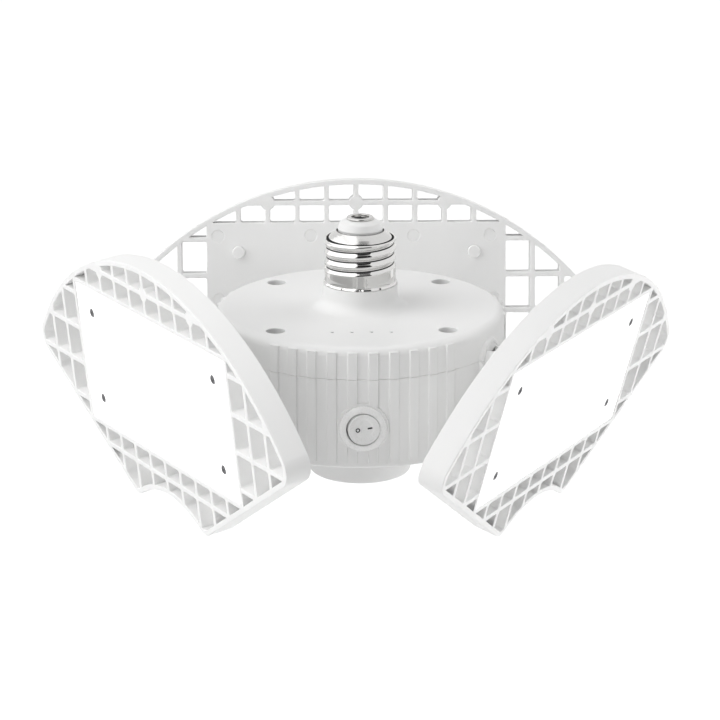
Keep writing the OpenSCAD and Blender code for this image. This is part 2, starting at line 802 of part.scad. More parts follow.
// Collar that turns in a hinge boss and carries the tilt pivot between its two cheeks
module swivel_collar(az) {
  color("white") at_hinge(az) difference() {
    union() {
      along_y() {
        translate([0, 0, fork_y]) cylinder(r = collar_r, h = block_end_y - fork_y);
        translate([0, 0, flange_y]) cylinder(r = flange_r, h = flange_t);
      }
      intersection() {
        translate([0, -cheek_end_r, 0]) along_y() cylinder(r = collar_r, h = fork_y + cheek_end_r + 0.5);
        rotate([0, 90, 0]) linear_extrude(collar_d, center = true) {
          circle(cheek_end_r);
          translate([-cheek_end_r, 0]) square([2 * cheek_end_r, fork_y + 0.5]);
        }
        difference() {
          cube([collar_d, 4 * fork_y, collar_d], center = true);
          translate([-cheek_gap / 2, -2 * fork_y, -collar_d]) cube([cheek_gap, 3 * fork_y, 2 * collar_d]);
        }
      }
    }
    translate([0, fork_y - 1, 0]) along_y() cylinder(d = lead_d + 0.6, h = block_end_y);
    rotate([0, 90, 0]) cylinder(r = pin_r + 0.01, h = collar_d + 2, center = true);
  }
}

// Pin of a tilt pivot, pressed into the collar's cheeks
module hinge_pin(az) {
  color("silver") at_hinge(az) rotate([0, 90, 0]) cylinder(r = pin_r, h = pin_l, center = true);
}

// Arm from the tilt pivot to the back of a panel, with a channel for the lamp's lead
module arm(az, tilt) {
  foot_y = panel_reach - panel_depth;
  color("white") at_hinge(az) rotate([tilt, 0, 0]) difference() {
    union() {
      rotate([0, 90, 0]) cylinder(r = knuckle_r, h = knuckle_w, center = true);
      translate([0, -foot_y, 0]) along_y()
        cylinder(r1 = arm_root_r, r2 = arm_neck_r, h = foot_y - arm_neck_at);
      translate([-knuckle_w / 2, -arm_neck_at - 0.5, -knuckle_r + 0.6])
        cube([knuckle_w, arm_neck_at, 2 * knuckle_r - 1.2]);
      translate([0, -foot_y, 0]) slab(0, foot_t) stadium(foot_screw_gap, foot_end_r);
      translate([0, -foot_y, 0]) slab(0, foot_boss_h)
        for (i = [-1, 1]) translate([i * foot_screw_gap / 2, 0]) circle(foot_boss_r);
    }
    rotate([0, 90, 0]) {
      cylinder(r = pin_r + shaft_fit, h = knuckle_w + 2, center = true);
      difference() {
        cylinder(r = knuckle_r + 1, h = lead_d, center = true);
        cylinder(r = pin_r + 1, h = lead_d + 1, center = true);
      }
    }
    translate([0, -foot_y - 1, 0]) along_y() cylinder(d = lead_d, h = foot_y - pin_r);
    for (i = [-1, 1]) translate([i * foot_screw_gap / 2, -foot_y - 1, 0]) along_y()
      cylinder(r = foot_shank_r + bite, h = foot_boss_h);
  }
}

// Two screws that hold the arm's foot, from inside the panel's box
module arm_screws(az, tilt) {
  color("dimgray") at_panel(az, tilt)
    for (i = [-1, 1]) translate([i * foot_screw_gap / 2, back_y, panel_drop]) rotate([90, 0, 0])
      screw(2 * foot_shank_r, back_t + foot_boss_h - 1.6, 2 * foot_head_r, foot_head_t);
}

// Lattice frame of a panel with the box for the lamp board in its middle
module panel_frame(az, tilt) {
  color("white") at_panel(az, tilt) difference() {
    union() {
      slab(0, panel_depth) difference() {
        fan(0);
        cells();
        box_outline(0);
      }
      slab(post_y + 0.1, panel_depth - post_y - 0.1) difference() {
        square([box_in_w + 0.4, box_in_h + 0.4], center = true);
        box_outline(ledge_w);
      }
      slab(back_y, back_t) square([box_in_w + 0.4, box_in_h + 0.4], center = true);
      slab(post_y + 0.1, panel_depth - post_y - 0.2) for (p = posts) translate(p) circle(d = post_d);
      slab(back_y, back_t + stud_h) for (p = posts) translate(p) circle(stud_r);
      slab(0, panel_depth) for (c = pad_cols) translate([c * column, top_rail]) circle(rail_pad_r);
    }
    slab(post_y - 1, panel_depth - post_y) for (p = posts) translate(p) circle(d = lens_shank_d + 2 * bite);
    slab(panel_depth - mark_deep, 1) for (p = marks) translate(p) circle(mark_r);
    slab(back_y - 1, back_t + 2) translate([0, panel_drop]) {
      circle(d = lead_d);
      for (i = [-1, 1]) translate([i * foot_screw_gap / 2, 0]) circle(foot_shank_r + 0.15);
    }
  }
}

// Metal-backed board with the lamps of a panel
module lamp_board(az, tilt) {
  w = box_in_w - 2 * ledge_w - 1;
  h = box_in_h - 2 * ledge_w - 1;
  color("lightyellow") at_panel(az, tilt) {
    slab(board_y, board_t) difference() {
      square([w, h], center = true);
      for (p = posts) translate(p) circle(d = post_d + 0.6);
      translate([0, panel_drop]) {
        circle(d = lead_d + 0.4);
        for (i = [-1, 1]) translate([i * foot_screw_gap / 2, 0]) circle(foot_head_r + 0.3);
      }
    }
    for (i = [-4 : 4], j = [-1, 1]) translate([i * column * 0.85 - 1.4, board_y - 0.8, j * 11 - 1.75])
      cube([2.8, 0.81, 3.5]);
  }
}

// Opal lens of a panel
module lens(az, tilt) {
  color("ghostwhite") at_panel(az, tilt) difference() {
    slab(lens_y, lens_t) round_rect(lens_w, lens_h, 0.8);
    slab(lens_y - 1, lens_t + 2) for (p = posts) translate(p) circle(d = lens_shank_d + 0.4);
    slab(lens_y - 1, 1 + lens_sink) for (p = posts) translate(p) circle(d = lens_head_d + 0.6);
  }
}

// Four screws that hold the lens of a panel
module lens_screws(az, tilt) {
  color("dimgray") at_panel(az, tilt) for (p = posts)
    translate([p[0], lens_y + lens_sink, p[1]]) rotate([90, 0, 0])
      screw(lens_shank_d, lens_t + 3.5, lens_head_d, lens_head_t);
}

top_cap();
lower_housing();
bottom_cover();
screw_shell();
base_insulator();
centre_contact();
case_screws();
charge_lights();
charge_light_board();
switch_body();
switch_terminals();
switch_rocker();
driver_board();
transformer();
capacitors();
board_screws();
battery_tray();
battery_cells();
base_leads();
swivel_collar(left_az);  // left_swivel_collar
hinge_pin(left_az);  // left_hinge_pin
arm(left_az, left_tilt);  // left_arm
arm_screws(left_az, left_tilt);  // left_arm_screws
panel_frame(left_az, left_tilt);  // left_panel_frame
lamp_board(left_az, left_tilt);  // left_lamp_board
lens(left_az, left_tilt);  // left_lens
lens_screws(left_az, left_tilt);  // left_lens_screws
swivel_collar(right_az);  // right_swivel_collar
hinge_pin(right_az);  // right_hinge_pin
arm(right_az, right_tilt);  // right_arm
arm_screws(right_az, right_tilt);  // right_arm_screws
panel_frame(right_az, right_tilt);  // right_panel_frame
lamp_board(right_az, right_tilt);  // right_lamp_board
lens(right_az, right_tilt);  // right_lens
lens_screws(right_az, right_tilt);  // right_lens_screws
swivel_collar(back_az);  // back_swivel_collar
hinge_pin(back_az);  // back_hinge_pin
arm(back_az, back_tilt);  // back_arm
arm_screws(back_az, back_tilt);  // back_arm_screws
panel_frame(back_az, back_tilt);  // back_panel_frame
lamp_board(back_az, back_tilt);  // back_lamp_board
lens(back_az, back_tilt);  // back_lens
lens_screws(back_az, back_tilt);  // back_lens_screws
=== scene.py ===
# %% [markdown]
# # A screw-in ceiling light with three folding panels
# The real light screws into a lamp socket. Its drum holds the driver, a battery and a rocker
# switch, and three fan-shaped lattice panels fold and turn on hinges round the drum. The CAD model
# already has every piece at its real size and place. This notebook loads that model as a fixed
# frame and gives each piece the rounded edges, fine forms and finishes that a render shows.

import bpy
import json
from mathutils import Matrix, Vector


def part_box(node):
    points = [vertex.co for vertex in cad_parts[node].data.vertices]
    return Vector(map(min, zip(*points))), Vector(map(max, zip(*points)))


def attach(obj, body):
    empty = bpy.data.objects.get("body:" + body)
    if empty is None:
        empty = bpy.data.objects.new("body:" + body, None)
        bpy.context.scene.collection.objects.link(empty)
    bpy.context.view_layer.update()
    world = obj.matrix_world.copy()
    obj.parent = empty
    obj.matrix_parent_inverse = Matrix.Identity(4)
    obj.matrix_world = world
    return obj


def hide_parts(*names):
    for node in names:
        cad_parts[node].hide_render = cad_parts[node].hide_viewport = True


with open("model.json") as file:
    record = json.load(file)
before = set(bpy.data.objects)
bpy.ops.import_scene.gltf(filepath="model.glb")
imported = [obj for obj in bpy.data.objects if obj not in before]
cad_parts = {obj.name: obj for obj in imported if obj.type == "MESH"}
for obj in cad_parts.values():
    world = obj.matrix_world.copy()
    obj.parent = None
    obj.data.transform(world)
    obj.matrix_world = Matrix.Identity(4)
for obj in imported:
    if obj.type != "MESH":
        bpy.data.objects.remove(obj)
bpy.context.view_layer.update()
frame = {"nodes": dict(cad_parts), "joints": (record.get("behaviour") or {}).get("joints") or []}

# %% Libraries and units
import json
from math import atan2, cos, hypot, pi, radians, sin, sqrt, tan

import bmesh
import bpy
from mathutils import Matrix, Vector

MM = 0.001
WELD = 3.5e-6       # metres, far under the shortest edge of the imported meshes
INWARD = 30         # degrees from upright to each tilt joint's inner limit
AZIMUTHS = {"left": 210, "right": 330, "back": 90}
SIDES = {}
for joint in frame["joints"]:
    side = joint["name"].removesuffix("_tilt")
    if side in AZIMUTHS:
        SIDES[side] = (AZIMUTHS[side], -INWARD - joint["range_deg"][0])
print("azimuth and lean of each panel at rest:", SIDES)

# %% Helpers for places, and for what an operator makes
def turned(degrees, axis):
    """The matrix of a turn in degrees about an axis."""
    return Matrix.Rotation(radians(degrees), 4, axis)


def shifted(x, y, z):
    """The matrix of a shift in mm."""
    return Matrix.Translation((x * MM, y * MM, z * MM))


def verts_in(made):
    """The vertices among what a bmesh operator made."""
    return [g for g in made if isinstance(g, bmesh.types.BMVert)]


def new_rim(made):
    """The edges among what an extrusion of edges made that join two of its new vertices."""
    fresh = set(verts_in(made))
    edges = [g for g in made if isinstance(g, bmesh.types.BMEdge)]
    return [e for e in edges if e.verts[0] in fresh and e.verts[1] in fresh]


print("place helpers ready")

# %% [markdown]
# ## Camera
# The photograph was taken from a little above, with a long lens, so that the upright lines hardly
# lean. A camera was fitted to known sizes of the drum, the screw base and the panels. Here it is
# placed with its position, its aim and its focal length. Aiming a camera with a direction turned
# into a quaternion is safer than typing angles, because -Z is always the way that it looks.

# %% Camera at the photograph's viewing angle
camera_place = Vector((-21.7, -1117.4, 326.1)) * MM
camera_aim = Vector((-0.075, 0, -30.12)) * MM
camera_data = bpy.data.cameras.new("camera")
camera_data.lens = 158.3
camera_data.sensor_width = 36
camera = bpy.data.objects.new("camera", camera_data)
camera.location = camera_place
camera.rotation_mode = "QUATERNION"
camera.rotation_quaternion = (camera_aim - camera_place).to_track_quat("-Z", "Y")
bpy.context.scene.collection.objects.link(camera)
bpy.context.scene.camera = camera
print("camera distance in m:", round((camera_aim - camera_place).length, 3))

# %% [markdown]
# ## Node helpers
# Every finish in this file is a node material. A small helper that adds a node, sets its sockets
# and links what is handed to it keeps each recipe short enough to read at a glance.

# %% Helpers for node materials
def add_node(tree, kind, inputs=None, **settings):
    """Adds a node, sets its properties, and fills or links its inputs."""
    node = tree.nodes.new(kind)
    for key, value in settings.items():
        setattr(node, key, value)
    for key, value in (inputs or {}).items():
        if isinstance(value, bpy.types.NodeSocket):
            tree.links.new(value, node.inputs[key])
        else:
            node.inputs[key].default_value = value
    return node


def new_material(name):
    """An empty node material, its tree, its Principled shader and its Object coordinates."""
    material = bpy.data.materials.new(name)
    material.use_nodes = True
    tree = material.node_tree
    shader = tree.nodes["Principled BSDF"]
    place = add_node(tree, "ShaderNodeTexCoord").outputs["Object"]
    return material, tree, shader, place


print("helpers ready")

# %% [markdown]
# ## Studio
# The photograph shows the light on pure white with no shadow in view. A floor far under the object
# catches its shadow out of the picture. Floor and world look white to the camera, to glossy rays
# and to rays through clear plastic, and light everything else at a plain, even level.

# %% Which rays see the white studio
def seen_white(tree):
    """1 for camera, glossy and transmission rays, and 0 for the rays that light the object."""
    path = add_node(tree, "ShaderNodeLightPath")
    either = add_node(tree, "ShaderNodeMath", {0: path.outputs["Is Camera Ray"],
                      1: path.outputs["Is Glossy Ray"]}, operation="MAXIMUM")
    return add_node(tree, "ShaderNodeMath", {0: either.outputs[0],
                    1: path.outputs["Is Transmission Ray"]}, operation="MAXIMUM").outputs[0]


SKY_LEVEL = 0.2
world = bpy.data.worlds.new("studio")
bpy.context.scene.world = world
world.use_nodes = True
sky = world.node_tree
level = add_node(sky, "ShaderNodeMapRange", {"Value": seen_white(sky),
                 "To Min": SKY_LEVEL, "To Max": 1.0})
sky.nodes["Background"].inputs["Color"].default_value = (1, 1, 1, 1)
sky.links.new(level.outputs[0], sky.nodes["Background"].inputs["Strength"])
print("world lights at", SKY_LEVEL)

# %% Floor far under the object
FLOOR_Z, FLOOR_R = -0.6, 9     # metres
FLOOR_GLOW = 0.8               # with the light that falls on the floor, this comes to white
floor_mesh = bpy.data.meshes.new("floor")
bm = bmesh.new()
bmesh.ops.create_circle(bm, cap_ends=True, segments=96, radius=FLOOR_R,
                        matrix=Matrix.Translation((0, 0, FLOOR_Z)))
bm.to_mesh(floor_mesh)
bm.free()
floor = bpy.data.objects.new("floor", floor_mesh)
bpy.context.scene.collection.objects.link(floor)
floor_paint, tree, shader, place = new_material("floor_paint")
shader.inputs["Base Color"].default_value = (0.8, 0.8, 0.8, 1)
shader.inputs["Roughness"].default_value = 0.9
lift = add_node(tree, "ShaderNodeMath", {0: seen_white(tree), 1: FLOOR_GLOW},
                operation="MULTIPLY")
glow = add_node(tree, "ShaderNodeEmission", {"Color": (1, 1, 1, 1), "Strength": lift.outputs[0]})
both = add_node(tree, "ShaderNodeAddShader", {0: shader.outputs[0], 1: glow.outputs[0]})
tree.links.new(both.outputs[0], tree.nodes["Material Output"].inputs["Surface"])
floor_mesh.materials.append(floor_paint)
print("floor at", FLOOR_Z, "m")

# %% [markdown]
# ## Soft lights
# Broad lights above, at the sides and in front give even shading with hardly any shadow edge. None
# of them shows in a reflection: what the bright metal mirrors is left to the cards below.

# %% Soft area lights
LIGHT_AIM = Vector((0, 0, -0.03))


def soft_light(name, place, width, power):
    """A square area light at a place in metres that looks at the object."""
    data = bpy.data.lights.new(name, "AREA")
    data.size = width
    data.energy = power
    light = bpy.data.objects.new(name, data)
    light.location = place
    light.rotation_mode = "QUATERNION"
    light.rotation_quaternion = (LIGHT_AIM - Vector(place)).to_track_quat("-Z", "Y")
    light.visible_glossy = light.visible_camera = False
    bpy.context.scene.collection.objects.link(light)


soft_light("key", (-0.75, -1.2, 0.45), 0.4, 2.4)
soft_light("front", (-0.1, -1.4, 0.3), 0.5, 1.8)
soft_light("top_left", (-1.1, -0.3, 1.1), 1.3, 13)
soft_light("top_right", (1.1, 0.35, 1.1), 1.0, 5.5)
soft_light("overhead", (-0.1, 0.1, 1.5), 1.0, 5)
soft_light("left_side", (-1.5, -0.25, 0.2), 0.8, 4.5)
soft_light("right_side", (1.5, 0.0, -0.12), 0.8, 10.5)
soft_light("low_front", (-0.3, -1.2, -0.5), 0.6, 0.6)

# %% [markdown]
# ## Cards for the bright metal
# A mirror-like part has no colour of its own: against an all-white studio it looks flat. So a
# photographer stands cards round it, and each bend of the metal draws a streak of black, grey or
# white. The cards here are seen by glossy rays only. They throw no shadow and are not in the
# picture. Some fade to a glow at one end, so that their reflections have one soft edge.

# %% Cards that only reflections see
def mirror_card(name, place, width, height, shade, tip=90, turn=0, glow=0, fade=None):
    """A card in metres, tipped and turned in degrees. A fade is its axis, start, end and glow."""
    mesh = bpy.data.meshes.new(name)
    bm = bmesh.new()
    bmesh.ops.create_grid(bm, x_segments=1, y_segments=1, size=0.5,
                          matrix=Matrix.Translation(place) @ turned(turn, "Z") @ turned(tip, "X")
                          @ Matrix.Diagonal((width, height, 1, 1)))
    bm.to_mesh(mesh)
    bm.free()
    card = bpy.data.objects.new(name, mesh)
    bpy.context.scene.collection.objects.link(card)
    paint, tree, shader, place = new_material(name + "_paint")
    shader.inputs["Base Color"].default_value = (shade, shade, shade, 1)
    shader.inputs["Roughness"].default_value = 0.9
    shader.inputs["Emission Color"].default_value = (1, 1, 1, 1)
    shader.inputs["Emission Strength"].default_value = glow
    if fade:
        axis, start, end, glow_end = fade
        along = add_node(tree, "ShaderNodeSeparateXYZ", {0: place}).outputs[axis]
        ramp = add_node(tree, "ShaderNodeMapRange", {"Value": along, "From Min": start,
                        "From Max": end, "To Min": glow, "To Max": glow_end})
        tree.links.new(ramp.outputs[0], shader.inputs["Emission Strength"])
    mesh.materials.append(paint)
    card.visible_camera = card.visible_diffuse = False
    card.visible_shadow = card.visible_transmission = False


mirror_card("black_card", (0.17, -0.8, 0.66), 0.78, 1.35, 0.0, fade=("Z", 1.0, 1.2, 0.8))
mirror_card("grey_scrim", (0.22, -0.475, 1.36), 0.7, 0.65, 0.0, tip=0, glow=0.05,
            fade=("Y", -0.62, -0.2, 1.0))
mirror_card("light_roof", (-0.75, 0.1, 1.6), 1.1, 2.0, 0.8, tip=0, glow=1.1)
mirror_card("grey_front", (0.15, -0.8, -0.22), 1.9, 0.44, 0.3, glow=0.3,
            fade=("X", -0.1, -0.85, 1.2))
mirror_card("light_box", (-0.68, -0.62, 0.78), 0.95, 1.6, 0.8, turn=-46, glow=1.1)
mirror_card("light_wall", (-1.05, 0.3, 0.78), 1.4, 1.6, 0.8, turn=-90, glow=1.1)

# %% [markdown]
# ## Rounded copies of the moulded pieces
# A real moulding has no sharp edges: each one is rounded by a few tenths of a millimetre and draws
# a thin bright or dark line. The CAD pieces have the right faces but sharp edges, and arrive as
# loose triangles. So a copy is merged and its flat faces are made whole again. Every edge that
# turns by more than a set angle gets a bevel weight, and a Bevel modifier rounds the edges that
# have one. Weighted normals keep the flats flat.

# %% Merge a copy of a CAD node and round its edges
FLAT_ANGLE, SHARP_ANGLE = 0.4, 40      # degrees


def merged(node, whole_flats=True):
    """A bmesh copy of a CAD node with its loose triangles joined, and its flats made whole."""
    shape = bmesh.new()
    shape.from_mesh(frame["nodes"][node].data)
    bmesh.ops.remove_doubles(shape, verts=shape.verts, dist=WELD)
    if whole_flats:
        bmesh.ops.dissolve_limit(shape, angle_limit=radians(FLAT_ANGLE), verts=shape.verts,
                                 edges=shape.edges)
    return shape


def add_piece(name, shape, body, material, replaces=()):
    """Makes a bmesh an object that rides on a body and stands for CAD nodes."""
    mesh = bpy.data.meshes.new(name)
    shape.to_mesh(mesh)
    shape.free()
    mesh.shade_smooth()
    mesh.materials.append(material)
    piece = bpy.data.objects.new(name, mesh)
    bpy.context.scene.collection.objects.link(piece)
    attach(piece, body)
    if replaces:
        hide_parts(*replaces)
    return piece


def keep_flats(piece):
    """Makes the shading of a piece follow its large faces."""
    piece.modifiers.new("weighted normals", "WEIGHTED_NORMAL").keep_sharp = True


def round_edges(piece, width, leave=None, clamp=False):
    """Rounds the sharp edges to a width in metres, but for those that leave(edge) picks."""
    shape = bmesh.new()
    shape.from_mesh(piece.data)
    weight = shape.edges.layers.float.new("bevel_weight_edge")
    for edge in shape.edges:
        sharp = edge.is_manifold and edge.calc_face_angle() > radians(SHARP_ANGLE)
        edge[weight] = float(sharp and not (leave and leave(edge)))
    shape.to_mesh(piece.data)
    shape.free()
    bevel = piece.modifiers.new("rounded edges", "BEVEL")
    bevel.width = width
    bevel.segments = 2
    bevel.limit_method = "WEIGHT"
    bevel.use_clamp_overlap = clamp
    bevel.loop_slide = False
    bevel.miter_outer = "MITER_ARC"
    keep_flats(piece)


print("edges are sharp from", SHARP_ANGLE, "degrees")

# %% [markdown]
# ## Moulded plastics
# The whole light is white moulded plastic with a fine satin grain. Under soft light such plastic is
# never one flat value: the grain breaks up the gloss, and the colour drifts a little between
# thicker and thinner walls. Two noises make this, a fine one for the grain in bump and roughness,
# and a wide one for the drift. Both read Object coordinates, so they stay with each piece.

# %% Noises, and a moulded plastic
DRIFT_SCALE, GRAIN_DEEP = 45.0, 0.02     # drifts per metre, mm


def noise(tree, place, scale, detail):
    """The value of a noise with so many lumps to the metre."""
    return add_node(tree, "ShaderNodeTexNoise", {"Vector": place, "Scale": scale,
                    "Detail": detail}).outputs["Fac"]


def mixed(tree, factor, colour_0, colour_1):
    """A colour that goes from one to another as a factor goes from 0 to 1."""
    return add_node(tree, "ShaderNodeMix", {"Factor": factor, "A": (*colour_0, 1),
                    "B": (*colour_1, 1)}, data_type="RGBA").outputs[2]


def surface(tree, shader, colour, gloss, lowest, highest, height, bump, deep_mm):
    """Links a colour, a roughness between two values and a bump to a shader."""
    rough = add_node(tree, "ShaderNodeMapRange", {"Value": gloss, "To Min": lowest,
                     "To Max": highest})
    relief = add_node(tree, "ShaderNodeBump", {"Height": height, "Strength": bump,
                      "Distance": deep_mm * MM})
    tree.links.new(colour, shader.inputs["Base Color"])
    tree.links.new(rough.outputs[0], shader.inputs["Roughness"])
    tree.links.new(relief.outputs[0], shader.inputs["Normal"])


def moulded(name, colour, shade, roughness, grain_mm=0.25, bump=0.12, gloss_spread=0.08):
    """Plastic whose colour drifts to a shade of it, with a fine grain of a given size."""
    material, tree, shader, place = new_material(name)
    drift = mixed(tree, noise(tree, place, DRIFT_SCALE, 3.0), shade, colour)
    grain = noise(tree, place, 1 / (grain_mm * MM), 2.0)
    surface(tree, shader, drift, grain, roughness - gloss_spread, roughness + gloss_spread,
            grain, bump, GRAIN_DEEP)
    return material


lattice_plastic = moulded("lattice_plastic", (0.92, 0.92, 0.915), (0.9, 0.9, 0.895), 0.46)
white_plastic = moulded("white_plastic", (0.87, 0.87, 0.865), (0.84, 0.84, 0.835), 0.46)
switch_plastic = moulded("switch_plastic", (0.89, 0.89, 0.885), (0.87, 0.87, 0.865), 0.28,
                         grain_mm=0.5, bump=0.04, gloss_spread=0.04)
insulator_white = moulded("insulator_white", (0.84, 0.84, 0.835), (0.8, 0.8, 0.795), 0.35,
                          grain_mm=0.4)
print("plastics:", lattice_plastic.name, white_plastic.name, switch_plastic.name,
      insulator_white.name)

# %% [markdown]
# ## The lattice panels
# Each panel is one flat moulding: a fan-shaped rim, a grid of ribs with open cells, and a closed
# box in the middle. Its edges are so many and so close together that a Bevel modifier, which slides
# corners along whatever edges it finds, tears here. This helper works on one plane at a time: it
# takes the flat away, grows a rounded strip from every rim that is left, and fills the flat again
# inside the strips. Rims, cells and holes all come out with the same even rounding.

# %% Round every rim of the faces that lie in one plane
MITRE_MAX = 2.0                     # how far a sharp corner may reach, in radii
ROUND_STEPS = 3                     # strips in a quarter round
PARALLEL, PLANE_GAP = 0.999, 0.01   # cosine of the largest tilt, and mm, of a face in the plane


def round_flat(shape, point, normal, radius):
    """Rounds every edge round the flat faces that lie in the plane through a point."""
    flat = [f for f in shape.faces if f.normal.dot(normal) > PARALLEL
            and all(abs((v.co - point).dot(normal)) < PLANE_GAP * MM for v in f.verts)]
    inside = set(flat)
    rim = [e for e in shape.edges if sum(f in inside for f in e.link_faces) == 1]
    sideways = {}
    for edge in rim:
        face = next(f for f in edge.link_faces if f in inside)
        side = normal.cross(edge.verts[1].co - edge.verts[0].co).normalized()
        if side.dot(face.calc_center_median() - edge.verts[0].co) < 0:
            side.negate()
        for v in edge.verts:
            sideways.setdefault(v, []).append(side)
    inward = {}
    for v, pair in sideways.items():
        mitre = (pair[0] + pair[-1]) / max(0.02, 1 + pair[0].dot(pair[-1]))
        inward[v] = mitre * min(1, MITRE_MAX / max(mitre.length, 0.01))
    bmesh.ops.delete(shape, geom=flat, context="FACES")
    start = {v: v.co - radius * normal for v in inward}
    for v, place in start.items():
        v.co = place
    ring, outer = rim, {v: v for v in inward}
    for step in range(1, ROUND_STEPS + 1):
        turn = pi / 2 * step / ROUND_STEPS
        made = bmesh.ops.extrude_edge_only(shape, edges=ring)["geom"]
        fresh = set(verts_in(made))
        ring = new_rim(made)
        grown = {}
        for v in fresh:
            old = next(e.other_vert(v) for e in v.link_edges if e.other_vert(v) not in fresh)
            first = outer[old]
            grown[v] = first
            v.co = start[first] + radius * ((1 - cos(turn)) * inward[first] + sin(turn) * normal)
        outer = grown
    filled = bmesh.ops.triangle_fill(shape, edges=ring, normal=normal, use_beauty=True)["geom"]
    return len(rim), sum(isinstance(g, bmesh.types.BMFace) for g in filled)


print("corners reach at most", MITRE_MAX, "radii")

# %% [markdown]
# Each panel has a frame of its own, in mm: u to the right, -y out of its lit face and v up. Its
# matrix goes out to the pivot at the drum's wall, tilts, and goes along the arm to the panel.

# %% Round the three lattices
PIVOT_R, SEAM_Z = 58.1, -20.6
REACH, DROP, DEPTH, STUD_H = 28.1, 3.3, 9.7, 1.4
RIM_ROUND, STUD_ROUND = 0.35, 0.5


def panel_frame_matrix(side):
    """The matrix from a panel's own frame, in mm, to the object's frame, in metres."""
    azimuth, tilt = SIDES[side]
    return (Matrix.Scale(MM, 4) @ turned(azimuth + 90, "Z")
            @ Matrix.Translation((0, -PIVOT_R, SEAM_Z)) @ turned(tilt, "X")
            @ Matrix.Translation((0, -REACH, -DROP)))


for side in SIDES:
    node = side + "_panel_frame"
    shape = merged(node, whole_flats=False)
    matrix = panel_frame_matrix(side)
    front = (matrix.to_3x3() @ Vector((0, -1, 0))).normalized()
    for part, y, normal, radius in (("lit face", 0, front, RIM_ROUND),
                                    ("back face", DEPTH, -front, RIM_ROUND),
                                    ("studs", DEPTH + STUD_H, -front, STUD_ROUND)):
        edges, faces = round_flat(shape, matrix @ Vector((0, y, 0)), normal, radius * MM)
        print(side, part, "edges:", edges, "new faces:", faces)
    bmesh.ops.recalc_face_normals(shape, faces=shape.faces)
    piece = add_piece("lattice_" + side, shape, side + "_panel",
                      lattice_plastic, [node])
    keep_flats(piece)

# %% [markdown]
# The drum's wall has raised strips whose ends slope into it, and some of its faces are thinner
# than the rounding is wide. A bevel finds no room there and throws a corner out of the wall, so
# these edges stay sharp. The bevel of the arms is clamped, which stops it where two roundings meet.

# %% Round the drum, the arms and the collars
DRUM_R, EDGE_ROUND, COLLAR_ROUND = 53.2, 0.3, 0.25
SLIVER, STRIP_END_RISE = 0.1, 0.4      # mm: thinnest face to round, height of a strip's end


def is_sliver(face):
    """True for a face that is so thin that it has no room for a rounding."""
    return face.calc_area() < SLIVER * MM * max(edge.calc_length() for edge in face.edges)


def stays_sharp(edge):
    """True for the edges across the end of a wall strip, and for those of slivers in the wall."""
    a, b = (v.co / MM for v in edge.verts)
    reach = max(hypot(a.x, a.y), hypot(b.x, b.y))
    on_strip = reach > DRUM_R + 0.1 and abs(a.z - SEAM_Z) > 1
    in_wall = reach > DRUM_R - 1
    return (on_strip and abs(a.z - b.z) < STRIP_END_RISE
            or in_wall and any(is_sliver(face) for face in edge.link_faces))


for node in ("top_cap", "lower_housing", "bottom_cover"):
    piece = add_piece("rounded_" + node, merged(node), "housing",
                      white_plastic, [node])
    round_edges(piece, EDGE_ROUND * MM, leave=stays_sharp)
    print(node, len(piece.data.polygons))
for side in SIDES:
    node = side + "_arm"
    piece = add_piece("rounded_" + node, merged(node), side + "_panel",
                      white_plastic, [node])
    round_edges(piece, EDGE_ROUND * MM, clamp=True)
    print(node, len(piece.data.polygons))
    node = side + "_swivel_collar"
    piece = add_piece("rounded_" + node, merged(node), side + "_swivel",
                      white_plastic, [node])
    round_edges(piece, COLLAR_ROUND * MM)
    print(node, len(piece.data.polygons))

# %% [markdown]
# ## Screw base
# The screw shell of a lamp base is thin sheet metal: a plain skirt with a rolled bead at its
# foot, a round thread that is rolled into the sheet, and a drawn-in shoulder. The CAD model has
# closed rings for the thread. Here one profile is spun into a tube, and then each vertex of the
# thread's zone is moved in or out by where it lies along the helix. That gives the slow rise of a
# real thread, its run-out at both ends, and the crimps that hold the shell to the plastic neck.

# %% Spin a profile into a skin
SEAM_WELD = 1e-7       # metres, closes the seam of a spun skin
CORNER_SHARE = 0.45    # the most of a side that a rounding takes


def lathe(profile, steps=96, matrix=None):
    """Spins a profile of (radius, height) points in mm round +Z into a closed skin, in metres."""
    shape = bmesh.new()
    verts = [shape.verts.new((r * MM, 0, z * MM)) for r, z in profile]
    edges = [shape.edges.new(pair) for pair in zip(verts, verts[1:])]
    bmesh.ops.spin(shape, geom=verts + edges, cent=(0, 0, 0), axis=(0, 0, 1), angle=2 * pi,
                   steps=steps, use_merge=True)
    bmesh.ops.remove_doubles(shape, verts=shape.verts, dist=SEAM_WELD)
    bmesh.ops.recalc_face_normals(shape, faces=shape.faces)
    if matrix:
        bmesh.ops.transform(shape, matrix=matrix, verts=shape.verts)
    return shape


def rounded(profile, radius, steps=4):
    """A profile whose inner corners are rounded to a radius in mm."""
    points = [Vector(p) for p in profile]
    soft = [points[0]]
    for before, corner, after in zip(points, points[1:], points[2:]):
        a, b = (before - corner), (after - corner)
        half = a.angle(b) / 2
        back = min(radius / tan(half), CORNER_SHARE * a.length, CORNER_SHARE * b.length)
        first, last = corner + back * a.normalized(), corner + back * b.normalized()
        for k in range(steps + 1):
            t = k / steps
            soft.append((1 - t) ** 2 * first + 2 * t * (1 - t) * corner + t * t * last)
    return [tuple(p) for p in soft + [points[-1]]]


print("a square corner rounded by 1 mm:", len(rounded([(0, 0), (5, 0), (5, 5)], 1)), "points")
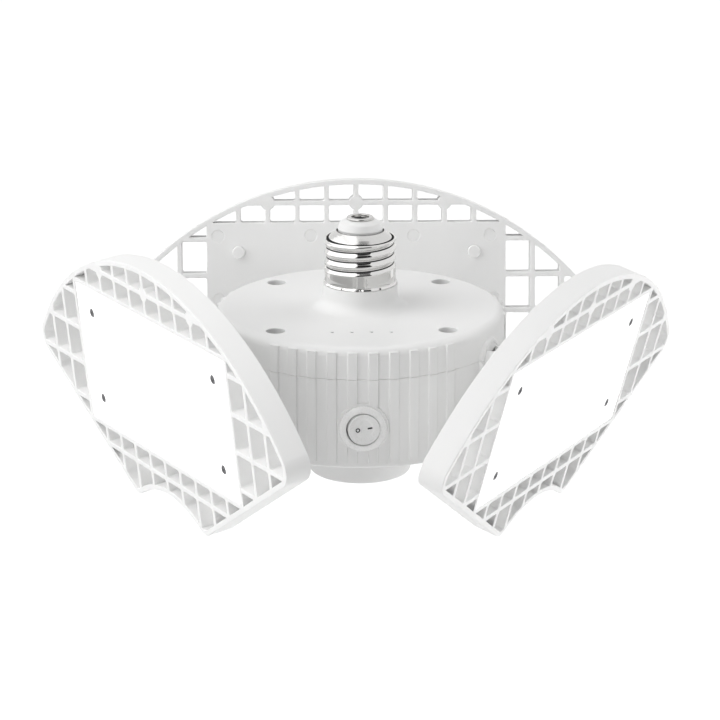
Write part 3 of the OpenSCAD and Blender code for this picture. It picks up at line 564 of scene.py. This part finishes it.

# %% [markdown]
# ## Nickel plate
# Bright plating is a mirror, so its look is the look of what stands round it. It has a metallic
# shader with a small roughness, broken up by faint rings that the forming rolls leave, and a
# little haze from handling. The rings come from a noise that is stretched flat by a Mapping node.
# Painted shade: a black without metal gloss is mixed in by the distance from the axis. It goes in
# the roots of the thread, round the edge of the shoulder's hole and in the contact's pit, where
# shade and dark reflections fall.

# %% Bright nickel plate
RING_MM, RING_STRETCH, RING_DEEP, RING_BUMP = 0.16, 40, 0.01, 0.03
HAZE_SCALE, HAZE_LOW, HAZE_HIGH = 260.0, 0.6, 1.5      # lumps per metre, shares of the roughness
PAINTED_SHADE_BLACK = (0.04, 0.04, 0.04)


def plated(name, colour, shade, roughness, painted_shade_inside=None):
    """Plated metal with fine rings round Z and a haze; with a pair of radii in mm, black painted
    shade inside them.
    """
    material, tree, shader, place = new_material(name)
    shader.inputs["Metallic"].default_value = 1.0
    stretched = add_node(tree, "ShaderNodeMapping", {"Vector": place, "Scale": (
                         RING_STRETCH, RING_STRETCH, 1 / (RING_MM * MM))}).outputs[0]
    rings = noise(tree, stretched, 1.0, 2.0)
    haze = noise(tree, place, HAZE_SCALE, 3.0)
    tone = mixed(tree, haze, shade, colour)
    surface(tree, shader, tone, haze, roughness * HAZE_LOW, roughness * HAZE_HIGH, rings,
            RING_BUMP, RING_DEEP)
    # Painted shade and painted dark reflection: inside the radii, black without metal gloss takes
    # the place of the plate.
    if painted_shade_inside:
        level = add_node(tree, "ShaderNodeVectorMath", {0: place, 1: (1, 1, 0)},
                         operation="MULTIPLY")
        reach = add_node(tree, "ShaderNodeVectorMath", {0: level.outputs[0]}, operation="LENGTH")
        unshaded_share = add_node(tree, "ShaderNodeMapRange", {"Value": reach.outputs["Value"],
                         "From Min": painted_shade_inside[0] * MM, "From Max": painted_shade_inside[1] * MM})
        painted_tone = add_node(tree, "ShaderNodeMix", {"Factor": unshaded_share.outputs[0], "A": (*PAINTED_SHADE_BLACK, 1),
                        "B": tone}, data_type="RGBA")
        half = add_node(tree, "ShaderNodeMath", {0: unshaded_share.outputs[0], 1: 0.5},
                        operation="MULTIPLY")
        tree.links.new(painted_tone.outputs[2], shader.inputs["Base Color"])
        tree.links.new(unshaded_share.outputs[0], shader.inputs["Metallic"])
        tree.links.new(half.outputs[0], shader.inputs["Specular IOR Level"])
    return material


# The pairs of radii paint black shade into the thread's roots, at the shoulder's hole and in the
# contact's pit.
thread_nickel = plated("thread_nickel", (0.73, 0.725, 0.715), (0.69, 0.685, 0.675), 0.04,
                       painted_shade_inside=(12.42, 12.46))
shoulder_nickel = plated("shoulder_nickel", (0.66, 0.655, 0.645), (0.62, 0.615, 0.605), 0.18,
                         painted_shade_inside=(8.7, 8.85))
contact_nickel = plated("contact_nickel", (0.6, 0.595, 0.585), (0.5, 0.495, 0.485), 0.12,
                        painted_shade_inside=(3.0, 3.15))
print("nickel:", thread_nickel.name, shoulder_nickel.name, contact_nickel.name)

# %% Screw shell with its rolled thread
THREAD_R, THREAD_DEEP, PITCH, THREAD_TOP = 13.2, 0.8, 3.63, 16.48
SKIRT_H, SKIRT_R, SHEET_IN_R, LIP_R = 4.5, 13.1, 11.95, 10.8
BEAD_R, BEAD_H, CRIMPS, CRIMP_DEEP, CRIMP_WIDE = 13.75, 0.75, 12, 0.5, 0.09
RUN_IN, RUN_OUT = (0.45, 0.85), (3.55, 3.85)      # from and to, in turns over the skirt


def ease(low, high, value):
    """Goes smoothly from 0 to 1 as a value goes from low to high."""
    t = min(1, max(0, (value - low) / (high - low)))
    return t * t * (3 - 2 * t)


def thread_radius(height, angle):
    """Radius of the sheet in mm at a height and an angle, with the helix and its run-outs."""
    turns = (height - SKIRT_H) / PITCH - angle / (2 * pi)
    wave = 0.5 - 0.5 * cos(2 * pi * turns)
    starts = ease(*RUN_IN, turns)
    ends = 1 - ease(*RUN_OUT, turns)
    root = THREAD_R - THREAD_DEEP
    return root + (SKIRT_R - root) * (1 - starts) + THREAD_DEEP * wave * starts * ends


ROWS, low_z, high_z, foot_z = 150, 2.4, THREAD_TOP + 0.6, 0.02
zone = [(THREAD_R, low_z + (high_z - low_z) * k / ROWS) for k in range(ROWS + 1)]
bead = rounded([(SHEET_IN_R, foot_z), (BEAD_R, foot_z), (BEAD_R - 0.35, BEAD_H),
                (SKIRT_R, BEAD_H + 0.25), (SKIRT_R, low_z - 0.2)], 0.25)
lip = [(LIP_R, high_z + 0.05), (LIP_R, high_z - 0.3), (SHEET_IN_R, high_z - 0.5),
       (SHEET_IN_R, foot_z)]
shape = lathe(bead + zone + lip, steps=192)
for v in shape.verts:
    height, angle = v.co.z / MM, atan2(v.co.y, v.co.x)
    radius = hypot(v.co.x, v.co.y) / MM
    if abs(radius - THREAD_R) < 0.01:
        new_radius = thread_radius(height, angle)
    elif height < BEAD_H + 0.3 and radius > SKIRT_R + 0.1:
        nearest = (angle * CRIMPS / (2 * pi) + 0.5) % 1 - 0.5
        new_radius = radius - CRIMP_DEEP * max(0, 1 - (nearest / CRIMP_WIDE) ** 2)
    else:
        continue
    v.co.x *= new_radius / radius
    v.co.y *= new_radius / radius
bmesh.ops.recalc_face_normals(shape, faces=shape.faces)
print("screw shell vertices:", len(shape.verts))
add_piece("rolled_screw_shell", shape, "housing", thread_nickel, ["screw_shell"])

# %% Drawn shoulder over the thread
SHOULDER_R, SHOULDER_HOLE_R, SHOULDER_TOP = 11.7, 8.6, 20.0
outside = [(11.1, 16.9), (SHOULDER_R, 17.12), (11.35, 17.6), (10.6, 18.4), (9.7, 19.2),
           (SHOULDER_HOLE_R, SHOULDER_TOP)]
underside = [(SHOULDER_HOLE_R - 0.1, SHOULDER_TOP - 0.3), (9.4, 19.0), (10.3, 18.0),
             (11.0, 17.3), (11.1, 16.9)]
dome = rounded(outside + underside, 0.5)
add_piece("drawn_shoulder", lathe(dome, steps=128), "housing", shoulder_nickel)
print("shoulder from", SHOULDER_R, "to", SHOULDER_HOLE_R, "mm")

# %% Insulator and centre contact
CONE_FOOT_R, CONE_FOOT_Z, CONE_SEAT_Z = 8.2, 17, 23.2
CONTACT_R, CONTACT_Z, CONTACT_TOP, PIT_R, PIT_DEEP = 5.0, 24.08, 24.95, 3.25, 1.0
cone = rounded([(0, CONE_FOOT_Z), (CONE_FOOT_R, CONE_FOOT_Z), (CONE_FOOT_R, 20.3), (8.45, 20.7),
                (7.3, 22.9), (CONTACT_R + 0.35, CONTACT_Z), (3.6, CONTACT_Z),
                (3.4, CONE_SEAT_Z), (0, CONE_SEAT_Z)], 0.5)
add_piece("insulator_cone", lathe(cone), "housing", insulator_white,
          ["base_insulator"])
pit = CONTACT_TOP - PIT_DEEP
disc = rounded([(0, pit), (PIT_R - 0.05, pit), (PIT_R, CONTACT_TOP - 0.1),
                (PIT_R + 0.2, CONTACT_TOP), (CONTACT_R - 0.25, CONTACT_TOP - 0.03),
                (CONTACT_R, CONTACT_TOP - 0.3), (CONTACT_R, CONTACT_Z), (3.4, CONTACT_Z - 0.05),
                (PIT_R, pit - 0.3), (0, pit - 0.3)], 0.15)
add_piece("contact_disc", lathe(disc, steps=72), "housing", contact_nickel,
          ["centre_contact"])
print("contact at", CONTACT_TOP, "mm")

# %% [markdown]
# ## Rocker switch
# A round snap-in switch: a bezel whose face rises in a shallow cone to its inner rim, and a round
# rocker that tips about an upright axis. Both are turned shapes, so both are spun. The rocker's
# face is then dished: two planes meet in a valley along the axis, with a thumb hollow over them.

# %% Bezel
SWITCH_Z, PAD_Y, ROCKER_Y, ROCKER_LEAN = -38.4, -53.8, -53.4, 7
BEZEL_HOLE_R, BEZEL_R, BEZEL_H, BEZEL_RIM_H = 6.05, 8.4, 2.0, 0.9
BARREL_R, BARREL_L, WELL_DEEP = 7.8, 14.9, 6


def facing_front(y, turn=0):
    """The matrix that turns +Z to the front at the switch: depth in mm, turn in degrees."""
    return shifted(0, y, SWITCH_Z) @ turned(turn, "Z") @ turned(90, "X")


profile = rounded([(0, -WELL_DEEP), (BEZEL_HOLE_R, -WELL_DEEP), (BEZEL_HOLE_R, BEZEL_H),
                   (6.7, BEZEL_H - 0.02), (7.8, 1.35), (BEZEL_R, BEZEL_RIM_H), (BEZEL_R, 0),
                   (BARREL_R, 0), (BARREL_R, -BARREL_L), (0, -BARREL_L)], 0.35, steps=3)
shape = lathe(profile, matrix=facing_front(PAD_Y))
add_piece("switch_bezel", shape, "housing", switch_plastic, ["switch_body"])
print("bezel over the pad in mm:", BEZEL_H)

# %% Rocker with its dished face
ROCKER_FACE, VALLEY_R, DISH_R, FACE_ROWS = 2.4, 0.9, 5.3, 16
HOLLOW_DEEP, HOLLOW_X, HOLLOW_Y, HOLLOW_STEEP = 0.3, 3.7, 4.6, 2.4
ROCKER_R, ROCKER_FOOT_R, ROCKER_FOOT_Z, AXLE_R, AXLE_L = 5.75, 4.6, -3.2, 0.8, 14


def face_height(x, y):
    """Height of the rocker's face over its axis in mm, at a place across it."""
    valley = tan(radians(ROCKER_LEAN)) * (sqrt(x * x + VALLEY_R ** 2) - VALLEY_R)
    hollow = max(0, 1 - (x / HOLLOW_X) ** 2 - (y / HOLLOW_Y) ** 2)
    return ROCKER_FACE + valley - HOLLOW_DEEP * min(1, HOLLOW_STEEP * hollow)


def lay_on_face(verts, level=0):
    """Lifts vertices from a flat level in mm to the dished face."""
    for v in verts:
        v.co.z += (face_height(v.co.x / MM, v.co.y / MM) - level) * MM


rings = [(DISH_R * k / FACE_ROWS, ROCKER_FACE) for k in range(FACE_ROWS + 1)]
side_wall = rounded([(DISH_R + 0.05, ROCKER_FACE), (5.62, ROCKER_FACE), (ROCKER_R, 1.2),
                     (ROCKER_R, -1.5), (ROCKER_FOOT_R, ROCKER_FOOT_Z), (0, ROCKER_FOOT_Z)], 0.3)
shape = lathe(rings + side_wall, steps=72)
lay_on_face([v for v in shape.verts if v.co.z > (ROCKER_FACE - 0.5) * MM], ROCKER_FACE)
bmesh.ops.create_cone(shape, cap_ends=True, segments=24, radius1=AXLE_R * MM, radius2=AXLE_R * MM,
                      depth=AXLE_L * MM, matrix=turned(90, "X"))
bmesh.ops.transform(shape, matrix=facing_front(ROCKER_Y, ROCKER_LEAN), verts=shape.verts)
bmesh.ops.recalc_face_normals(shape, faces=shape.faces)
add_piece("rocker_cap", shape, "rocker", switch_plastic, ["switch_rocker"])
print("rocker face at its centre and edge in mm:", round(face_height(0, 0), 2),
      round(face_height(DISH_R, 0), 2))

# %% Printed off ring and on dash
ink = moulded("black_ink", (0.012, 0.012, 0.012), (0.02, 0.02, 0.02), 0.5, grain_mm=0.2)
INK_T, RING_X, RING_Y, RING_IN, RING_OUT = 0.03, -2.2, -0.12, 0.42, 0.84
DASH_X, DASH_Y, DASH_W, DASH_H, DASH_LEAN = 2.15, 0.5, 1.65, 0.6, 9
shape = lathe([(RING_IN, 0), (RING_IN, INK_T), (RING_OUT, INK_T), (RING_OUT, 0), (RING_IN, 0)],
              steps=32, matrix=shifted(RING_X, RING_Y, 0))
bmesh.ops.create_cube(shape, size=MM, matrix=shifted(DASH_X, DASH_Y, INK_T / 2)
                      @ turned(DASH_LEAN, "Z") @ Matrix.Diagonal((DASH_W, DASH_H, INK_T, 1)))
lay_on_face(shape.verts)
bmesh.ops.transform(shape, matrix=facing_front(ROCKER_Y, ROCKER_LEAN), verts=shape.verts)
bmesh.ops.recalc_face_normals(shape, faces=shape.faces)
add_piece("switch_marks", shape, "rocker", ink)
print("marks", round(DASH_X - RING_X, 2), "mm apart")

# %% [markdown]
# ## Screws and pins
# Each screw has a pan head with a cross recess, as pressed by a heading tool. The recess starts as
# a small grid: its corner squares go, the cross that is left is pushed down with a taper, and a
# bridge joins its rim to the round head. One screw is made and then copied to each of its places.

# %% A cross-head screw at the origin
HEAD_CURVE = [(0.88, 0.9), (0.97, 0.7), (1, 0.42), (1, 0)]      # shares of radius and height
TOP_R, CROSS_R, SLOT_R, CROSS_H, CROSS_DEEP = 0.74, 0.62, 0.11, 0.97, 0.55     # the same
CROSS_TAPER, TIP_R, TIP_L = 0.8, 0.25, 0.8                      # two shares, and mm


def cross_screw(head_r, head_t, shank_r, shank_l):
    """A pan head screw in mm whose head stands on z = 0 and faces +Z."""
    shape = bmesh.new()
    arm, slot, deep = CROSS_R * head_r, SLOT_R * head_r, CROSS_DEEP * head_t
    ring = bmesh.ops.create_circle(shape, segments=24, radius=TOP_R * head_r * MM,
                                   matrix=shifted(0, 0, head_t))["verts"]
    edges = list({e for v in ring for e in v.link_edges})
    bridge = list(edges)
    steps = [(head_r * a, head_t * b) for a, b in HEAD_CURVE]
    steps += [(shank_r, 0), (shank_r, TIP_L - shank_l), (TIP_R * shank_r, -shank_l)]
    for radius, height in steps:
        made = bmesh.ops.extrude_edge_only(shape, edges=edges)["geom"]
        edges = new_rim(made)
        for v in verts_in(made):
            scale = radius * MM / hypot(v.co.x, v.co.y)
            v.co = (v.co.x * scale, v.co.y * scale, height * MM)
    bmesh.ops.contextual_create(shape, geom=edges)
    grid = bmesh.ops.create_grid(shape, x_segments=3, y_segments=3, size=arm * MM,
                                 matrix=shifted(0, 0, CROSS_H * head_t))["verts"]
    for v in grid:
        for axis in (0, 1):
            if abs(v.co[axis]) < 0.5 * arm * MM:
                v.co[axis] = slot * MM if v.co[axis] > 0 else -slot * MM
    faces = list({f for v in grid for f in v.link_faces})
    corners = [f for f in faces if min(abs(c) for c in f.calc_center_median().xy) > slot * MM]
    bmesh.ops.delete(shape, geom=corners, context="FACES")
    cross = [f for f in faces if f.is_valid]
    edges = {e for f in cross for e in f.edges}
    rim = [e for e in edges if sum(f in cross for f in e.link_faces) == 1]
    bmesh.ops.bridge_loops(shape, edges=bridge + rim)
    low = bmesh.ops.extrude_face_region(shape, geom=cross)["geom"]
    for v in verts_in(low):
        v.co = (CROSS_TAPER * v.co.x, CROSS_TAPER * v.co.y, v.co.z - deep * MM)
    bmesh.ops.delete(shape, geom=[f for f in cross if f.is_valid], context="FACES")
    bmesh.ops.delete(shape, geom=[v for v in shape.verts if not v.link_faces], context="VERTS")
    bmesh.ops.recalc_face_normals(shape, faces=shape.faces)
    return shape


def copies(shape, places):
    """Puts a copy of a shape at each place, and the shape itself at the last."""
    whole = shape.verts[:] + shape.edges[:] + shape.faces[:]
    own = shape.verts[:]
    for matrix in places[:-1]:
        made = bmesh.ops.duplicate(shape, geom=whole)["geom"]
        bmesh.ops.transform(shape, matrix=matrix, verts=verts_in(made))
    bmesh.ops.transform(shape, matrix=places[-1], verts=own)
    return shape


print("screw helpers ready")

# %% Finishes of the fasteners
black_oxide = plated("black_oxide", (0.17, 0.17, 0.175), (0.09, 0.09, 0.095), 0.32)
zinc = plated("zinc_plate", (0.62, 0.62, 0.64), (0.5, 0.5, 0.52), 0.28)
ground_steel = plated("ground_steel", (0.66, 0.66, 0.67), (0.58, 0.58, 0.59), 0.2)
print("fastener finishes:", black_oxide.name, zinc.name, ground_steel.name)

# %% [markdown]
# The case screws stand in a square round the axis, whose size is read from the box of the CAD
# node, and so is the height of the driver's screws. No two heads stop at the same turn in a real
# assembly, so those that show are turned by different angles.

# %% Case screws and the driver's screws
# head radius, head height, shank radius and shank length in mm
CASE_SCREW, BOARD_SCREW = (2.7, 2.0, 1.3, 14), (2.2, 1.3, 1.2, 8)
RECESS_Z, BOARD_X, BOARD_Y = -16.5, 20, 26
CORNERS = [(i, j) for i in (-1, 1) for j in (-1, 1)]
case_at = round(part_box("case_screws")[1][0] / MM - CASE_SCREW[0], 2)
places = [shifted(i * case_at, j * case_at, RECESS_Z) @ Matrix.Rotation(0.4 * i + j, 4, "Z")
          for i, j in CORNERS]
screws = copies(cross_screw(*CASE_SCREW), places)
add_piece("case_screw_heads", screws, "housing", black_oxide, ["case_screws"])
board_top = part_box("board_screws")[1][2] - BOARD_SCREW[1] * MM
places = [Matrix.Translation((i * BOARD_X * MM, j * BOARD_Y * MM, board_top)) for i, j in CORNERS]
screws = copies(cross_screw(*BOARD_SCREW), places)
add_piece("driver_screws", screws, "housing", zinc, ["board_screws"])
print("case screws in a square of", 2 * case_at, "mm")

# %% Lens screws and arm screws
LENS_SCREW, ARM_SCREW = (1.75, 0.8, 0.9, 5.5), (2.2, 1.3, 1.2, 5.4)
POST_U, POST_V, FOOT_U, HEAD_SEAT, FOOT_T = 46.2, 16.9, 8.5, 1.15, 2
size = Matrix.Scale(1 / MM, 4)
for side in SIDES:
    at = panel_frame_matrix(side)
    places = [at @ Matrix.Translation((i * POST_U, HEAD_SEAT, j * POST_V)) @ turned(90, "X")
              @ Matrix.Rotation(i + 0.6 * j, 4, "Z") @ size for i, j in CORNERS]
    screws = copies(cross_screw(*LENS_SCREW), places)
    add_piece("lens_screws_" + side, screws, side + "_panel", black_oxide,
              [side + "_lens_screws"])
    places = [at @ Matrix.Translation((i * FOOT_U, DEPTH - FOOT_T, DROP)) @ turned(90, "X")
              @ size for i in (-1, 1)]
    screws = copies(cross_screw(*ARM_SCREW), places)
    add_piece("arm_screws_" + side, screws, side + "_panel", zinc,
              [side + "_arm_screws"])
print("screws on each panel:", len(CORNERS), "and", len(places))

# %% Hinge pins
PIN_R, PIN_L, PIN_CHAMFER = 1.2, 10.2, 0.25
half = PIN_L / 2
profile = [(0, -half), (PIN_R - PIN_CHAMFER, -half), (PIN_R, PIN_CHAMFER - half),
           (PIN_R, half - PIN_CHAMFER), (PIN_R - PIN_CHAMFER, half), (0, half)]
for side, (azimuth, tilt) in SIDES.items():
    at = turned(azimuth + 90, "Z") @ shifted(0, -PIVOT_R, SEAM_Z) @ turned(90, "Y")
    pin = lathe(profile, steps=40, matrix=at)
    add_piece("hinge_pin_" + side, pin, side + "_swivel", ground_steel,
              [side + "_hinge_pin"])
print("pins", PIN_L, "mm long")

# %% [markdown]
# ## Lens
# The lens is a flat opal sheet that is lit from behind by the lamps and glows white all over. It is
# cut from one outline with round corners and four screw holes: the outline and the holes are drawn
# as loops, filled as one face, given their thickness, and rounded with the helper of the lattice.
# The Principled shader has its own emission, which keeps the sheet's real surface and gloss.

# %% Lit opal
CLOUD_SCALE, OPAL_GLOW = 900.0, 0.9
opal, tree, shader, place = new_material("lit_opal")
cloud = mixed(tree, noise(tree, place, CLOUD_SCALE, 2.0), (0.94, 0.94, 0.94), (0.97, 0.97, 0.97))
tree.links.new(cloud, shader.inputs["Base Color"])
shader.inputs["Roughness"].default_value = 0.4
shader.inputs["Emission Color"].default_value = (1, 1, 1, 1)
shader.inputs["Emission Strength"].default_value = OPAL_GLOW
print("opal glows at", OPAL_GLOW)

# %% Cut each lens
LENS_W, LENS_H, LENS_Y, LENS_T = 113.1, 52.8, 0.3, 2.0
LENS_HOLE_R, LENS_CORNER, LENS_ROUND = 1.95, 0.8, 0.2
for side in SIDES:
    shape = bmesh.new()
    bmesh.ops.create_grid(shape, x_segments=1, y_segments=1, size=0.5,
                          matrix=Matrix.Diagonal((LENS_W, LENS_H, 1, 1)))
    bmesh.ops.bevel(shape, geom=shape.verts[:], offset=LENS_CORNER, segments=4, profile=0.5,
                    affect="VERTICES", material=-1)
    bmesh.ops.delete(shape, geom=shape.faces[:], context="FACES_ONLY")
    for i, j in CORNERS:
        bmesh.ops.create_circle(shape, segments=32, radius=LENS_HOLE_R,
                                matrix=Matrix.Translation((i * POST_U, j * POST_V, 0)))
    bmesh.ops.triangle_fill(shape, edges=shape.edges[:], normal=(0, 0, 1), use_beauty=True)
    made = bmesh.ops.extrude_face_region(shape, geom=shape.faces[:])["geom"]
    bmesh.ops.translate(shape, vec=(0, 0, LENS_T), verts=verts_in(made))
    at = (panel_frame_matrix(side) @ Matrix.Translation((0, LENS_Y + LENS_T, 0))
          @ turned(90, "X"))
    bmesh.ops.transform(shape, matrix=at, verts=shape.verts)
    bmesh.ops.recalc_face_normals(shape, faces=shape.faces)
    front = (at.to_3x3() @ Vector((0, 0, 1))).normalized()
    edges, faces = round_flat(shape, at @ Vector((0, 0, LENS_T)), front, LENS_ROUND * MM)
    print(side, "lens edges:", edges, "new faces:", faces)
    bmesh.ops.recalc_face_normals(shape, faces=shape.faces)
    piece = add_piece("opal_lens_" + side, shape, side + "_panel", opal,
                      [side + "_lens"])
    keep_flats(piece)

# %% [markdown]
# ## Finishes of the pieces inside
# The drum is closed, so these pieces are seen only when it is taken apart. Their CAD shapes are
# right as they are, so each keeps its shape and gets a finish of its own: solder mask, shrink
# sleeve, tape, smoky light pipe and so on.

# %% Solder mask over copper tracks
TRACK_SCALE, TRACK_WIDE, TRACK_DEEP = 260.0, 0.03, 0.04     # per metre, share of a cell, mm


def board_finish(name, mask, track, roughness):
    """Solder mask that is a little lighter where copper tracks run under it."""
    material, tree, shader, place = new_material(name)
    cells = add_node(tree, "ShaderNodeTexBrick", {"Vector": place, "Scale": TRACK_SCALE,
                     "Mortar Size": TRACK_WIDE, "Color1": (*mask, 1), "Color2": (*mask, 1),
                     "Mortar": (*track, 1)})
    relief = add_node(tree, "ShaderNodeBump", {"Height": cells.outputs["Fac"], "Strength": 0.3,
                      "Distance": TRACK_DEEP * MM})
    tree.links.new(cells.outputs["Color"], shader.inputs["Base Color"])
    tree.links.new(relief.outputs[0], shader.inputs["Normal"])
    shader.inputs["Roughness"].default_value = roughness
    return material


circuit_green = board_finish("circuit_green", (0.02, 0.16, 0.06), (0.05, 0.26, 0.1), 0.3)
lamp_board_white = board_finish("lamp_board_white", (0.84, 0.84, 0.82), (0.78, 0.78, 0.76), 0.35)
print("board finishes:", circuit_green.name, lamp_board_white.name)

# %% Finishes by node
inside = {
    "charge_lights": moulded("smoky_pipe", (0.13, 0.135, 0.14), (0.08, 0.085, 0.09), 0.2,
                             grain_mm=0.6),
    "charge_light_board": circuit_green,
    "driver_board": circuit_green,
    "switch_terminals": plated("tinned_brass", (0.75, 0.7, 0.55), (0.6, 0.52, 0.34), 0.3),
    "transformer": moulded("yellow_tape", (0.78, 0.55, 0.06), (0.66, 0.44, 0.04), 0.35,
                           grain_mm=0.8),
    "capacitors": moulded("blue_sleeve", (0.02, 0.03, 0.09), (0.03, 0.045, 0.13), 0.25,
                          grain_mm=0.6),
    "battery_tray": moulded("black_moulding", (0.03, 0.03, 0.03), (0.045, 0.045, 0.045), 0.5),
    "battery_cells": moulded("cell_wrap", (0.06, 0.2, 0.5), (0.04, 0.15, 0.42), 0.25,
                             grain_mm=0.7),
    "base_leads": moulded("lead_rubber", (0.025, 0.025, 0.025), (0.04, 0.04, 0.04), 0.6,
                          grain_mm=0.3),
}
for side in SIDES:
    inside[side + "_lamp_board"] = lamp_board_white
for name, material in inside.items():
    data = frame["nodes"][name].data
    data.materials.clear()
    data.materials.append(material)
print("nodes with their own finish:", len(inside))

# %% [markdown]
# ## Finish
# The Standard view transform leaves white as white.

# %% Standard view transform
bpy.context.scene.view_settings.view_transform = "Standard"
